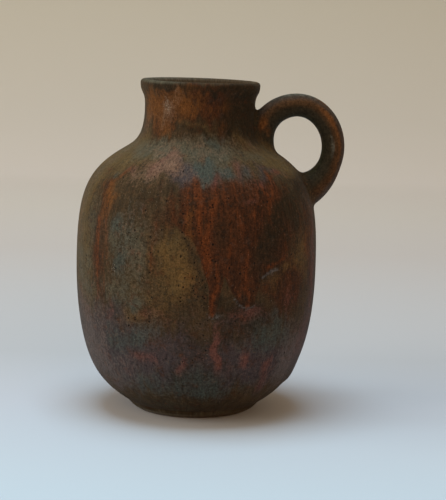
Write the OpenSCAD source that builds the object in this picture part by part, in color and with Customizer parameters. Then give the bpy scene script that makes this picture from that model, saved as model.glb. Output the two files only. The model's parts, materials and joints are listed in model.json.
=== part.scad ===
// Stoneware jug vase, one piece of fired clay: a full, steep-sided body on a small
// drawn-in foot, a short hollow neck with a rolled lip, and one loop handle that
// springs from the neck and comes down on the shoulder.
// It stands on z = 0 with its axis on Z, and the handle points along +X.

/* [Body] */
// Height from the table to the top of the lip
height = 250; // [225:1:290]
// Greatest diameter of the body
belly_d = 182; // [160:1:210]
// Height of the widest line above the table
belly_z = 112; // [95:1:125]
// Fullness of the curve from the foot up to the belly
lower_fullness = 0.71; // [0.5:0.01:0.8]
// Fullness of the curve from the belly up to the shoulder
upper_fullness = 0.59; // [0.45:0.01:0.7]
// Steepness of the body where it leaves the foot, in degrees
base_rise = 10; // [0:1:25]
// Thickness of the wall
wall = 5.4; // [4:0.1:7]

/* [Shoulder] */
// Diameter where the rounded shoulder turns into the hollow of the neck
shoulder_d = 118; // [108:1:130]
// Distance from that turn up to the narrowest line of the neck
neck_rise = 34; // [28:1:44]
// Slope of the shoulder at the turn, in degrees below level
shoulder_slope = 32; // [22:1:42]

/* [Neck and lip] */
// Diameter of the narrowest line of the neck
neck_d = 82.8; // [74:0.2:94]
// Distance from the narrowest line up to the top of the lip
lip_rise = 20; // [14:1:30]
// Diameter over the lip
lip_d = 90; // [80:0.5:104]

/* [Foot] */
// Diameter where the foot meets the table
foot_d = 82.4; // [70:0.2:86]
// Diameter of the crease between the foot and the body
crease_d = 90.8; // [88:0.2:100]
// Height of that crease above the table
crease_z = 7; // [5:0.5:10]
// Width of the ring that the vase stands on
ring_w = 6.5; // [4:0.5:10]
// Depth of the hollow under the foot
recess = 3; // [1.5:0.5:4.5]
// Thickness of the floor at its middle
floor_t = 7.5; // [5:0.5:12]
// Rounding of the edges of the ring
ring_round = 1; // [0.5:0.1:1.5]

/* [Handle] */
// Thickness of the handle, measured outwards from the finger hole
handle_t = 17.2; // [13:0.2:21]
// Width of the handle, measured across the finger hole
handle_w = 20; // [15:0.5:26]
// Distance from the neck out to the middle of the handle at its farthest
handle_reach = 59.6; // [54:0.2:72]
// Distance from the neck out to the middle of the handle where it leaves the neck
root_offset = 4.4; // [2:0.1:6]
// Distance from the neck out to the top of the loop
crown_offset = 32; // [28:0.5:38]
// Distance from the top of the lip down to the middle of the handle at its top
crown_drop = 17.4; // [15:0.2:24]
// Distance from the shoulder turn up to the loop's farthest point
bow_rise = 5; // [0:0.5:10]
// Distance from the shoulder turn down to the landing on the shoulder
landing_drop = 28; // [22:0.5:36]
// Angle at which the handle runs into the shoulder, in degrees below level
landing_angle = 17; // [5:1:35]
// Extra half thickness of the handle at its upper root
root_swell = 3; // [1:0.1:5]
// Extra half thickness of the handle at its landing
landing_swell = 5.8; // [3:0.1:7]
// Length over which the upper root swells
root_length = 61; // [40:1:75]
// Length over which the landing swells
landing_length = 32; // [22:1:42]

/* [Smoothness] */
// Facets around the vase
$fn = 72; // [48:4:96]
// Points around the handle
section_points = 24; // [16:2:32]
// Points along each of the handle's three curves
handle_steps = 11; // [8:1:14]

/* [Hidden] */
stoneware = [0.34, 0.22, 0.16];

neck_z = height - lip_rise;
shoulder_z = neck_z - neck_rise;
lip_r = wall / 2;                                     // the lip is rounded right over
lip_z = height - lip_r;

// How far the pulls of the curves reach, as a share of the run between their ends
shoulder_pull = 0.84;                                 // from the shoulder back over the belly
hollow_pull = [0.57, 0.75];                           // at the lower and upper end of the neck's hollow
flare_pull = [0.65, 0.5];                             // at the lower and upper end of the lip's flare
root_pull = [0.7, 0.43];                              // of the handle, from the neck to the crown
crown_pull = [0.53, 0.57];                            // from the crown to the farthest point
bow_pull = [0.29, 0.8];                               // from the farthest point to the landing
root_above_turn = 8;                                  // where the handle's first curve starts
root_run_in = 16;                                     // straight stretch buried in the neck below it
landing_sink = wall + 1;                              // how deep the middle line ends in the shoulder

function toward(angle) = [cos(angle), sin(angle)];

// A cubic curve from p to q that leaves along the vector a and arrives along the vector b
function curve(p, a, b, q, steps, first = 0) =
    [for (i = [first:steps]) let (t = i / steps, u = 1 - t)
        u * u * u * p + 3 * u * u * t * (p + a) + 3 * u * t * t * (q - b) + t * t * t * q];

function arc(centre, r, from, to, steps) =
    [for (i = [0:steps]) centre + r * toward(from + (to - from) * i / steps)];

// The outside of the wall from the crease of the foot up to the lip, as [radius, height]
crease = [crease_d / 2, crease_z];
belly = [belly_d / 2, belly_z];
turn = [shoulder_d / 2, shoulder_z];
waist = [neck_d / 2, neck_z];
lip = [lip_d / 2, lip_z];
up = [0, 1];
out = [1, 0];
inward_slope = toward(180 - shoulder_slope);
turn_run = (belly.x - turn.x) / cos(shoulder_slope);
waist_run = (turn.x - waist.x) / cos(shoulder_slope);
skin = concat(
    curve(crease, (belly.x - crease.x) / 2 * toward(base_rise),
          lower_fullness * (belly.y - crease.y) * up, belly, 12),
    curve(belly, upper_fullness * (turn.y - belly.y) * up,
          shoulder_pull * turn_run * inward_slope, turn, 10, 1),
    curve(turn, hollow_pull[0] * waist_run * inward_slope, hollow_pull[1] * neck_rise * up, waist, 8, 1),
    curve(waist, flare_pull[0] * (lip.y - waist.y) * up, flare_pull[1] * (lip.y - waist.y) * up, lip, 4, 1));

// The skin moved into the wall by a depth, square to itself at each point
function inset(depth) =
    [for (i = [0:len(skin) - 1])
        let (along = skin[min(i + 1, len(skin) - 1)] - skin[max(i - 1, 0)])
        skin[i] + depth * [-along.y, along.x] / norm(along)];

function skin_radius(z) = lookup(z, [for (p = skin) [p.y, p.x]]);

module shell() {
    inside = inset(wall);
    floor_z = recess + floor_t;
    ring_in = foot_d / 2 - ring_w;
    foot = concat(
        [[0, recess], [ring_in - recess, recess]],
        arc([ring_in + ring_round, ring_round], ring_round, 180 + 45, 270, 2),
        arc([foot_d / 2 - ring_round, ring_round], ring_round, 270, 345, 3));
    lip_arc = arc([lip.x - lip_r, lip.y], lip_r, 0, 180, 8);
    floor_curve = curve(inside[0], inside[0].x / 3 * toward(180 + base_rise),
                        [-inside[0].x / 3, 0], [0, floor_z], 6, 1);
    rotate_extrude()
        polygon(concat(foot, skin, [for (i = [1:8]) lip_arc[i]],
                       [for (i = [len(inside) - 2:-1:0]) inside[i]], floor_curve));
}

// The middle line of the handle: up along the neck, over the crown, down the bow and
// in to the shoulder. Both ends run on until they are buried in the wall.
root = [neck_d / 2 + root_offset, shoulder_z + root_above_turn];
crown = [neck_d / 2 + crown_offset, height - crown_drop];
bow = [neck_d / 2 + handle_reach, shoulder_z + bow_rise];
landing_z = shoulder_z - landing_drop;
landing = [skin_radius(landing_z) - landing_sink, landing_z];
middle_line = concat(
    [root - root_run_in * up, root - root_run_in / 2 * up],
    curve(root, root_pull[0] * (crown.y - root.y) * up,
          root_pull[1] * (crown.x - root.x) * out, crown, handle_steps),
    curve(crown, crown_pull[0] * (bow.x - crown.x) * out,
          crown_pull[1] * (crown.y - bow.y) * -up, bow, handle_steps, 1),
    curve(bow, bow_pull[0] * (bow.y - landing.y) * -up,
          bow_pull[1] * (bow.x - landing.x) * toward(180 + landing_angle), landing, handle_steps, 1));

// Distance along the middle line up to point i
function run_to(i) = i == 0 ? 0 : run_to(i - 1) + norm(middle_line[i] - middle_line[i - 1]);

// The oval section at point i, swollen towards both roots like pressed-on clay
function section(i) =
    let (last = len(middle_line) - 1,
         along = middle_line[min(i + 1, last)] - middle_line[max(i - 1, 0)],
         outward = [-along.y, along.x] / norm(along),
         from_root = max(0, 1 - run_to(i) / root_length),
         from_landing = max(0, 1 - (run_to(last) - run_to(i)) / landing_length),
         swell = root_swell * pow(from_root, 1.5) + landing_swell * pow(from_landing, 1.5))
    [for (k = [0:section_points - 1])
        let (angle = 360 * k / section_points,
             p = middle_line[i] + (handle_t / 2 + swell) * cos(angle) * outward)
        [p.x, (handle_w / 2 + swell) * sin(angle), p.y]];

// A closed skin over a row of sections with the same number of points
module loft(sections) {
    n = len(sections[0]);
    last = len(sections) - 1;
    sides = [for (i = [0:last - 1], k = [0:n - 1])
        let (a = i * n + k, b = i * n + (k + 1) % n)
        each [[a, b, b + n], [a, b + n, a + n]]];
    polyhedron(points = [for (ring = sections) each ring],
               faces = concat([[for (k = [n - 1:-1:0]) k]], sides, [[for (k = [0:n - 1]) last * n + k]]));
}

// The handle, cut off halfway into the wall so that nothing shows inside
module handle() {
    seat = inset(wall / 2);
    difference() {
        loft([for (i = [0:len(middle_line) - 1]) section(i)]);
        rotate_extrude()
            polygon(concat([[0, seat[0].y]], seat, [[0, seat[len(seat) - 1].y]]));
    }
}

module vase() {
    color(stoneware) {
        shell();
        handle();
    }
}

vase();
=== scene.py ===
import json
import math
import bmesh
import bpy
import numpy as np
from mathutils import Euler, Matrix, Vector

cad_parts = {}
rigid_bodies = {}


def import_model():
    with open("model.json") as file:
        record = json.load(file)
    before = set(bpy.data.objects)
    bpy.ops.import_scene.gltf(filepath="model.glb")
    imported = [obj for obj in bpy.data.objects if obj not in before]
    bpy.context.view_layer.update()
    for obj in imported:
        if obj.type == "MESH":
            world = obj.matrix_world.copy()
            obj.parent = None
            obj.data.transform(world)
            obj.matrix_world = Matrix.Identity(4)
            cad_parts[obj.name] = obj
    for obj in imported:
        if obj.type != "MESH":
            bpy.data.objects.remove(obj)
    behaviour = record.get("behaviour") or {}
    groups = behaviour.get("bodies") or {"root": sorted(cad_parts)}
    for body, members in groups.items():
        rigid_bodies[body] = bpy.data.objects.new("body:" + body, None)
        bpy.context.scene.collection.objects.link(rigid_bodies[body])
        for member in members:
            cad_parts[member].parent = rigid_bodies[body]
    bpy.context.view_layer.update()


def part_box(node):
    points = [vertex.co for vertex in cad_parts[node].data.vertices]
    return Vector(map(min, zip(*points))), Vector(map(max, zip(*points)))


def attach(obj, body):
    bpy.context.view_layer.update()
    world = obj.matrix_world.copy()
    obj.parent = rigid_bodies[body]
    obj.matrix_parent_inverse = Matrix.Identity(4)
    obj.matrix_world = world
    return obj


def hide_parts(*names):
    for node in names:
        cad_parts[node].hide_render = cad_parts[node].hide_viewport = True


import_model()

vaseLow, vaseHigh = (np.array(corner) * 1000 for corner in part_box("vase"))  # mm
print("frame: the vase's box in mm is", vaseLow.round(1), vaseHigh.round(1))

# Sizes of the form in mm. Height and belly come from the CAD box.
form = {
    "height": vaseHigh[2],
    "bellyRadius": -vaseLow[1],
    "bellyHeight": 112.0,
    "baseRise": 34.0,               # degrees above level where the body leaves the foot
    "lowerPull": 0.43,              # how far the curve runs on along the base's rise
    "lowerFullness": 0.78,
    "upperFullness": 0.59,
    "shoulderRadius": 59.0,
    "shoulderSlope": 32.0,          # degrees below level
    "shoulderPull": 0.84,           # from the shoulder's turn back over the belly
    "hollowPull": (0.57, 0.75),     # at the lower and upper end of the neck's hollow
    "neckRise": 34.0,
    "neckRadius": 41.4,
    "flarePull": (0.65, 0.5),       # at the lower and upper end of the lip's flare
    "lipRise": 20.0,
    "lipRadius": 45.0,
    "wall": 5.4,
    "footRadius": 41.2,
    "footEdge": 0.6,                # how far inside that radius the foot leaves the table
    "footPull": (4.0, 0.0),         # the run-out of the flare at the table, and its run-in at the crease
    "creasePull": (1.4, 2.9),
    "creaseRadius": 50.4,
    "creaseHeight": 6.6,
    "ringWidth": 6.5,
    "ringRound": 1.0,
    "recess": 3.0,
    "undersideRings": (2.0, 14.0, 27.7),
    "floorThickness": 7.5,
    "floorPull": (6, 3),            # the floor's radius over its curve's run, at the wall and at the axis
    "around": 288,                  # columns of faces round the axis
    "curveSteps": (96, 90, 60, 32),
    "rows": {"foot": 14, "outside": 172, "lip": 14, "inside": 74, "floor": 9},
}


# Unit vector at an angle from the outward direction, in degrees
def toward(angle):
    return np.array([math.cos(math.radians(angle)), math.sin(math.radians(angle))])


# Cubic curve from p to q, leaving along a and arriving along b:
# (1-t)^3 p + 3(1-t)^2 t (p+a) + 3(1-t) t^2 (q-b) + t^3 q
def cubicCurve(p, a, b, q, steps, skipFirst=False):
    p, a, b, q = (np.asarray(v, float) for v in (p, a, b, q))
    t = np.linspace(0, 1, steps + 1)[1 if skipFirst else 0:, None]
    u = 1 - t
    return u**3 * p + 3 * u * u * t * (p + a) + 3 * u * t * t * (q - b) + t**3 * q


# Points on a circle: centre + r (cos a, sin a), with a going evenly from start to end
def circleArc(centre, r, start, end, steps):
    a = np.radians(np.linspace(start, end, steps + 1))
    return np.asarray(centre) + r * np.stack([np.cos(a), np.sin(a)], 1)


# Unit tangents of a row of points, by central differences
def tangents(points):
    t = np.empty_like(points)
    t[1:-1] = points[2:] - points[:-2]
    t[0] = points[1] - points[0]
    t[-1] = points[-1] - points[-2]
    return t / np.linalg.norm(t, axis=1)[:, None]


# The outside of the wall from the crease of the foot to the lip, as rows of (radius, height).
# Four cubic curves meet at the belly, the shoulder's turn and the narrowest line of the neck.
def skinOutline(steps):
    up = np.array([0.0, 1.0])
    neckHeight = form["height"] - form["lipRise"]
    crease = np.array([form["creaseRadius"], form["creaseHeight"]])
    belly = np.array([form["bellyRadius"], form["bellyHeight"]])
    turn = np.array([form["shoulderRadius"], neckHeight - form["neckRise"]])
    waist = np.array([form["neckRadius"], neckHeight])
    lip = np.array([form["lipRadius"], form["height"] - form["wall"] / 2])
    slope = toward(180 - form["shoulderSlope"])
    turnRun = (belly[0] - turn[0]) / math.cos(math.radians(form["shoulderSlope"]))
    waistRun = (turn[0] - waist[0]) / math.cos(math.radians(form["shoulderSlope"]))
    return np.concatenate([
        cubicCurve(crease, form["lowerPull"] * (belly[0] - crease[0]) * toward(form["baseRise"]),
                   form["lowerFullness"] * (belly[1] - crease[1]) * up, belly, steps[0]),
        cubicCurve(belly, form["upperFullness"] * (turn[1] - belly[1]) * up,
                   form["shoulderPull"] * turnRun * slope, turn, steps[1], True),
        cubicCurve(turn, form["hollowPull"][0] * waistRun * slope,
                   form["hollowPull"][1] * form["neckRise"] * up, waist, steps[2], True),
        cubicCurve(waist, form["flarePull"][0] * (lip[1] - waist[1]) * up,
                   form["flarePull"][1] * (lip[1] - waist[1]) * up, lip, steps[3], True)])


# The outline moved square to itself into the wall
def insetOutline(outline, depth):
    t = tangents(outline)
    return outline + depth * np.stack([-t[:, 1], t[:, 0]], 1)


# Running length at each point of a row: the sum of the steps up to it
def runningLength(points):
    return np.concatenate([[0], np.cumsum(np.linalg.norm(np.diff(points, axis=0), axis=1))])


# Points spread evenly along a row of points, by its running length
def evenly(points, count):
    run = runningLength(points)
    at = np.linspace(0, run[-1], count)
    return np.stack([np.interp(at, run, points[:, 0]), np.interp(at, run, points[:, 1])], 1)


# Revolve: the point (r, z) at angle a goes to (r cos a, r sin a, z). Ends on the axis are closed by fans.
def revolved(name, outline, around):
    a = 2 * math.pi * np.arange(around) / around
    rows = len(outline)
    r, z = outline[:, :1] / 1000, outline[:, 1:] / 1000
    ring = np.stack([r * np.cos(a), r * np.sin(a), z + 0 * a], 2).reshape(-1, 3)
    poles = np.array([[0, 0, outline[0, 1]], [0, 0, outline[-1, 1]]]) / 1000
    i, j = np.meshgrid(np.arange(rows - 1), np.arange(around), indexing="ij")
    k = (j + 1) % around
    quads = np.stack([i * around + j, i * around + k, (i + 1) * around + k, (i + 1) * around + j], 2)
    j = np.arange(around)
    k = (j + 1) % around
    first, last = rows * around, rows * around + 1
    fans = np.concatenate([np.stack([k, j, np.full(around, first)], 1),
                           np.stack([(rows - 1) * around + j, (rows - 1) * around + k,
                                     np.full(around, last)], 1)])
    return meshObject(name, np.concatenate([ring, poles]), quads.reshape(-1, 4).tolist() + fans.tolist())


# A new mesh object in the scene, with its vertices in metres
def meshObject(name, points, faces):
    mesh = bpy.data.meshes.new(name)
    mesh.from_pydata(np.asarray(points).tolist(), [], faces)
    mesh.validate()
    thing = bpy.data.objects.new(name, mesh)
    bpy.context.scene.collection.objects.link(thing)
    return thing


skin = skinOutline(form["curveSteps"])


# The whole section of the wall: underside, foot, outside, lip, inside and floor, from axis to axis
def wallSection():
    f, rows = form, form["rows"]
    inside = insetOutline(skin, f["wall"])
    ringIn = f["footRadius"] - f["ringWidth"]
    lipRound = f["wall"] / 2
    underside = np.array([[r, f["recess"]] for r in (*f["undersideRings"], ringIn - f["recess"])])
    ring = circleArc([ringIn + f["ringRound"], f["ringRound"]], f["ringRound"], 225, 270, 3)
    side = cubicCurve([f["footRadius"] - f["footEdge"], 0.0], f["footPull"], f["creasePull"],
                      skin[0], rows["foot"])[:-1]
    lip = circleArc([f["lipRadius"] - lipRound, f["height"] - lipRound], lipRound, 0, 180, rows["lip"])[1:-1]
    inner = evenly(inside[::-1], rows["inside"])
    floorRadius = inside[0][0]
    floor = cubicCurve(inside[0], floorRadius / f["floorPull"][0] * toward(180 + f["baseRise"]),
                       [-floorRadius / f["floorPull"][1], 0],
                       [0.0, f["recess"] + f["floorThickness"]], rows["floor"], True)[:-1]
    return np.concatenate([underside, ring, side, evenly(skin, rows["outside"]), lip, inner, floor])


section = wallSection()
body = revolved("vaseBody", section, form["around"])
print("body:", len(section), "rows,", len(body.data.polygons), "faces")

# The loop handle in mm, from the same stations as the CAD
handle = {
    "thickness": 17.2,        # outwards from the finger hole
    "width": 20.0,            # across the finger hole
    "rootOffset": 4.4,        # from the neck's narrowest radius, as are the next two
    "crownOffset": 32.0,
    "reach": 59.6,
    "crownDrop": 17.4,        # from the top of the lip
    "bowRise": 5.0,           # from the shoulder's turn
    "landingDrop": 28.0,
    "landingAngle": 17.0,
    "rootSwell": 3.0,
    "landingSwell": 5.8,
    "rootLength": 61.0,
    "landingLength": 32.0,
    "swellPower": 1.5,
    "rootAboveTurn": 8.0,     # where the first curve starts, and the straight stretch buried below it
    "rootRunIn": 16.0,
    "landingSink": 6.4,       # how deep the middle line ends in the shoulder
    "rootPull": (0.7, 0.43),  # how far each curve runs on at its two ends, as shares of its rise and reach
    "crownPull": (0.53, 0.57),
    "bowPull": (0.29, 0.8),
    "curveSteps": 60,
    "rings": 120,
    "sides": 48,
    "seatGrid": (120, 96),    # rows and columns of the form that trims the loop inside the wall
    "softness": (5.5, 3.0),   # how far the upper root and the landing melt into the wall
    "softnessAt": (50, 80),   # at these distances from the axis
    "zone": (25, 40, 130, 246),    # where the roots are: from this x, within this y, between these heights
}


# Middle line: up along the neck, over the crown, down the bow and into the shoulder
def handleLine(steps):
    h = handle
    turnHeight = form["height"] - form["lipRise"] - form["neckRise"]
    up = np.array([0.0, 1.0])
    root = np.array([form["neckRadius"] + h["rootOffset"], turnHeight + h["rootAboveTurn"]])
    crown = np.array([form["neckRadius"] + h["crownOffset"], form["height"] - h["crownDrop"]])
    bow = np.array([form["neckRadius"] + h["reach"], turnHeight + h["bowRise"]])
    landingHeight = turnHeight - h["landingDrop"]
    landing = np.array([np.interp(landingHeight, skin[:, 1], skin[:, 0]) - h["landingSink"], landingHeight])
    return np.concatenate([
        np.linspace(root - h["rootRunIn"] * up, root, steps // 3)[:-1],
        cubicCurve(root, h["rootPull"][0] * (crown[1] - root[1]) * up,
                   [h["rootPull"][1] * (crown[0] - root[0]), 0], crown, steps),
        cubicCurve(crown, [h["crownPull"][0] * (bow[0] - crown[0]), 0],
                   -h["crownPull"][1] * (crown[1] - bow[1]) * up, bow, steps, True),
        cubicCurve(bow, -h["bowPull"][0] * (bow[1] - landing[1]) * up,
                   h["bowPull"][1] * (bow[0] - landing[0]) * toward(180 + h["landingAngle"]),
                   landing, steps, True)])


# Swelling towards one root: swell (1 - distance / length)^power, in mm
def rootSwelling(root, distance):
    share = np.clip(1 - distance / handle[root + "Length"], 0, 1)
    return handle[root + "Swell"] * share**handle["swellPower"]


line = evenly(handleLine(handle["curveSteps"]), handle["rings"])
lineRun = runningLength(line)
lineTangent = tangents(line)
lineOut = np.stack([-lineTangent[:, 1], lineTangent[:, 0]], 1)
swell = rootSwelling("root", lineRun) + rootSwelling("landing", lineRun[-1] - lineRun)
halfThick = handle["thickness"] / 2 + swell
halfWide = handle["width"] / 2 + swell


# Sweep: the oval (halfThick cos a, halfWide sin a) carried along the middle line in its plane y = 0
def sweptHandle(name):
    n, rings = handle["sides"], len(line)
    a = 2 * math.pi * np.arange(n) / n
    across = halfThick[:, None] * np.cos(a)
    points = np.stack([line[:, :1] + across * lineOut[:, :1], halfWide[:, None] * np.sin(a),
                       line[:, 1:] + across * lineOut[:, 1:]], 2).reshape(-1, 3) / 1000
    i, j = np.meshgrid(np.arange(rings - 1), np.arange(n), indexing="ij")
    k = (j + 1) % n
    quads = np.stack([i * n + j, (i + 1) * n + j, (i + 1) * n + k, i * n + k], 2).reshape(-1, 4).tolist()
    caps = [list(range(n)), [(rings - 1) * n + m for m in range(n - 1, -1, -1)]]
    return meshObject(name, points, quads + caps)


# Applies one Boolean between two objects and leaves the result as the first one's mesh
def applyBoolean(target, other, operation):
    cut = target.modifiers.new(operation, "BOOLEAN")
    cut.operation = operation
    cut.solver = "MANIFOLD"
    cut.object = other
    bpy.context.view_layer.update()
    result = bpy.data.meshes.new_from_object(target.evaluated_get(bpy.context.evaluated_depsgraph_get()))
    target.modifiers.clear()
    target.data = result
    bpy.data.objects.remove(other)


loop = sweptHandle("loopHandle")
seat = insetOutline(skin, form["wall"] / 2)
core = revolved("core", evenly(seat, handle["seatGrid"][0]), handle["seatGrid"][1])
applyBoolean(loop, core, "DIFFERENCE")
applyBoolean(body, loop, "UNION")
print("handle joined:", len(body.data.vertices), "points,", len(body.data.polygons), "faces")


# Nearest point of a row of points: signed offset (to the right of travel), running length.
# It goes through the points in slices to save memory.
def nearestOn(row, flat, atOnce=4000):
    step = row[1:] - row[:-1]
    length = np.linalg.norm(step, axis=1)
    run = runningLength(row)
    offset, along = np.empty(len(flat)), np.empty(len(flat))
    for first in range(0, len(flat), atOnce):
        part = slice(first, first + atOnce)
        away = flat[part, None] - row[None, :-1]
        t = np.clip((away * step).sum(2) / length**2, 0, 1)
        gap = away - t[..., None] * step
        best = np.argmin((gap**2).sum(2), axis=1)
        pick = np.arange(len(best)), best
        side = step[best, 1] * gap[pick][:, 0] - step[best, 0] * gap[pick][:, 1]
        offset[part] = np.sign(side) * np.linalg.norm(gap[pick], axis=1)
        along[part] = run[best] + t[pick] * length[best]
    return offset, along


# Signed distance in mm from the outside of the wall, positive in the open air:
# the nearest point on the outline in (radius, height), with the side taken from its tangent
def bodyDistance(points):
    flat = np.stack([np.hypot(points[:, 0], points[:, 1]), points[:, 2]], 1)
    return nearestOn(skin, flat)[0]


# Distance in mm from the handle's oval: q = |(u / halfThick, v / halfWide)| is 1 on it, and
# (q - 1) / |grad q| is the distance near it. u is the offset from the middle line in its plane, and v is y.
def handleDistance(points):
    offset, along = nearestOn(line, points[:, [0, 2]])
    thick, wide = np.interp(along, lineRun, halfThick), np.interp(along, lineRun, halfWide)
    u, v = offset / thick, points[:, 1] / wide
    q = np.hypot(u, v) + 1e-6
    return (q - 1) * q / (np.hypot(u / thick, v / wide) + 1e-6)


# Both forms melted together: min(a, b) - k/4 (1 - |a - b| / k)^2 where they are less than k apart
def meltedDistance(points):
    a, b = bodyDistance(points), handleDistance(points)
    k = np.interp(points[:, 0], handle["softnessAt"], handle["softness"])
    return np.minimum(a, b) - k / 4 * np.clip(1 - np.abs(a - b) / k, 0, 1)**2


# Newton steps on to the melted surface: p - f grad f / |grad f|^2, with the gradient by central differences
def pulledOn(points, rounds, h=0.05, flattest=0.2, longest=1.5):
    for _ in range(rounds):
        f = meltedDistance(points)
        grad = np.stack([(meltedDistance(points + h * axis) - meltedDistance(points - h * axis)) / (2 * h)
                         for axis in np.eye(3)], 1)
        move = (f / np.maximum((grad**2).sum(1), flattest))[:, None] * grad
        points = points - np.clip(move, -longest, longest)
    return points


# The points of a mesh as rows of x, y and z
def meshPoints(mesh):
    points = np.empty(len(mesh.vertices) * 3)
    mesh.vertices.foreach_get("co", points)
    return points.reshape(-1, 3)


# Indices of the points round the handle's roots
def nearRoots(points):
    x, y, z = points.T
    fromX, withinY, low, high = handle["zone"]
    return np.flatnonzero((x > fromX) & (np.abs(y) < withinY) & (z > low) & (z < high))


# How the roots are eased, in mm
easing = {
    "seam": 2.0,               # slivers this near to both surfaces
    "merge": 0.7,              # become one point within this distance
    "inside": 0.6,             # points deeper than this in the wall stay
    "band": 1.3,               # width of the eased band, as a share of the softness
    "rounds": 6,
    "strength": 0.5,
    "pulls": (3, 2),           # steps on to the melted surface, before the rounds and after each
}


# Merges the slivers that the joining left along the seam
def mergeSeam(mesh):
    points = meshPoints(mesh) * 1000
    near = nearRoots(points)
    both = np.maximum(np.abs(bodyDistance(points[near])), np.abs(handleDistance(points[near])))
    work = bmesh.new()
    work.from_mesh(mesh)
    work.verts.ensure_lookup_table()
    slivers = [work.verts[i] for i in near[both < easing["seam"]]]
    bmesh.ops.remove_doubles(work, verts=slivers, dist=easing["merge"] / 1000)
    bmesh.ops.triangulate(work, faces=[f for f in work.faces if len(f.verts) > 4])
    work.to_mesh(mesh)
    work.free()


# Eases the roots: each point goes halfway to the mean of its neighbours, then back on to the melted surface
def softenRoots(mesh):
    points = meshPoints(mesh) * 1000
    ids = nearRoots(points)
    ids = ids[bodyDistance(points[ids]) > -easing["inside"]]
    reach = handle["softness"][0]
    ids = ids[np.abs(meltedDistance(points[ids])) < reach]
    ids = ids[np.abs(bodyDistance(points[ids]) - handleDistance(points[ids])) < reach * easing["band"]]
    edges = np.empty(len(mesh.edges) * 2, int)
    mesh.edges.foreach_get("vertices", edges)
    edges = edges.reshape(-1, 2)
    points[ids] = pulledOn(points[ids], easing["pulls"][0])
    for _ in range(easing["rounds"]):
        total, count = np.zeros_like(points), np.zeros(len(points))
        for here, there in (edges.T, edges.T[::-1]):
            np.add.at(total, here, points[there])
            np.add.at(count, here, 1)
        points[ids] += easing["strength"] * (total[ids] / count[ids, None] - points[ids])
        points[ids] = pulledOn(points[ids], easing["pulls"][1])
    mesh.vertices.foreach_set("co", (points / 1000).ravel())
    mesh.update()
    print("roots softened:", len(ids), "points moved")


mergeSeam(body.data)
softenRoots(body.data)

# Hand-made irregularities in mm. The vase stays inside its box.
handMade = {
    "lipSlope": (0.0116, 0.006),   # fall of the lip towards the handle and towards the back, per mm
    "slopeFrom": 228.0,            # height from which the lip's slope grows in
    "slopePower": 1.5,
    "slopeReach": (6.0, 4.0),      # the slope ends this far outside the lip, and fades over this width
    "waver": 0.30,                 # depth of the soft unevenness of the wall
    # its waves: share, number round the vase, phase, and mm of height to a radian
    "waves": ((0.45, 2, 0.7, 61), (0.35, 3, -1.1, -37), (0.2, 5, 2.3, 23)),
    "waverIn": 30.0,               # height and radius over which it grows in
    "lumpRadii": (42.0, 56.0),     # thick glaze grows in between these radii
    # thick glaze low on the sides: angle, height, half width in degrees, reach below and above, thickness
    "lumps": ((80.0, 26.5, 22.0, 2.2, 9.0, 1.3), (-80.0, 30.0, 40.0, 16.0, 24.0, 0.8)),
}


# Smooth step from 0 at low to 1 at high: t^2 (3 - 2t)
def smooth(value, low, high):
    t = np.clip((value - low) / (high - low), 0, 1)
    return t * t * (3 - 2 * t)


# Unevenness: a sum of sines of the angle and the height, brought to 0..1
def unevenness(angle, height):
    waves = sum(share * np.sin(times * angle + phase + height / pitch)
                for share, times, phase, pitch in handMade["waves"])
    return 0.5 + 0.5 * waves


# The wall sinks in by the unevenness and swells where the glaze is thick, and the lip slopes
def makeUneven(mesh):
    points = meshPoints(mesh) * 1000
    x, y, z = points.T
    r, angle = np.hypot(x, y), np.arctan2(y, x)
    sinkIn = handMade["waver"] * unevenness(angle, z)
    waverIn = handMade["waverIn"]
    sinkIn *= np.clip((z - form["creaseHeight"]) / waverIn, 0, 1) * np.clip(r / waverIn, 0, 1)
    front = np.degrees(np.arctan2(x, -y))
    for at, high, wide, below, above, depth in handMade["lumps"]:
        reach = np.where(z < high, below, above)
        lump = depth * np.exp(-((front - at) / wide)**2 - ((z - high) / reach)**2)
        sinkIn -= lump * smooth(r, *handMade["lumpRadii"])
    scale = 1 - sinkIn / np.maximum(r, 1)
    low = np.clip((z - handMade["slopeFrom"]) / (form["height"] - handMade["slopeFrom"]), 0, 1)
    past, fade = handMade["slopeReach"]
    nearAxis = np.clip((form["lipRadius"] + past - r) / fade, 0, 1)
    fall = sum(slope * (way + form["lipRadius"]) for slope, way in zip(handMade["lipSlope"], (x, y)))
    drop = fall * low**handMade["slopePower"] * nearAxis
    mesh.vertices.foreach_set("co", (np.stack([x * scale, y * scale, z - drop], 1) / 1000).ravel())
    mesh.update()


plainPoints = meshPoints(body.data) * 1000
makeUneven(body.data)
print("wall made uneven:", len(plainPoints), "points")
body.data.shade_smooth()
body.name = "glazedVase"
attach(body, "root")
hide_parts("vase")

# The photograph's frame and the camera that was worked out from the vase's outline in it
photo = {
    "width": 446,
    "height": 500,
    "focal": 1700.0,            # in pixels
    "sensor": 36.0,             # in mm
    "place": (0.02005, -1.2785, 0.3138),
    "pitch": 8.572,             # degrees below level
    "roll": 1.47,
}
camera = bpy.data.objects.new("camera", bpy.data.cameras.new("camera"))
bpy.context.scene.collection.objects.link(camera)
camera.data.sensor_width = photo["sensor"]
camera.data.lens = photo["focal"] * photo["sensor"] / max(photo["width"], photo["height"])
camera.location = photo["place"]
camera.rotation_euler = (Euler((math.radians(90 - photo["pitch"]), 0, 0)).to_matrix()
                         @ Matrix.Rotation(math.radians(photo["roll"]), 3, "Z")).to_euler()
bpy.context.scene.camera = camera
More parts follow.
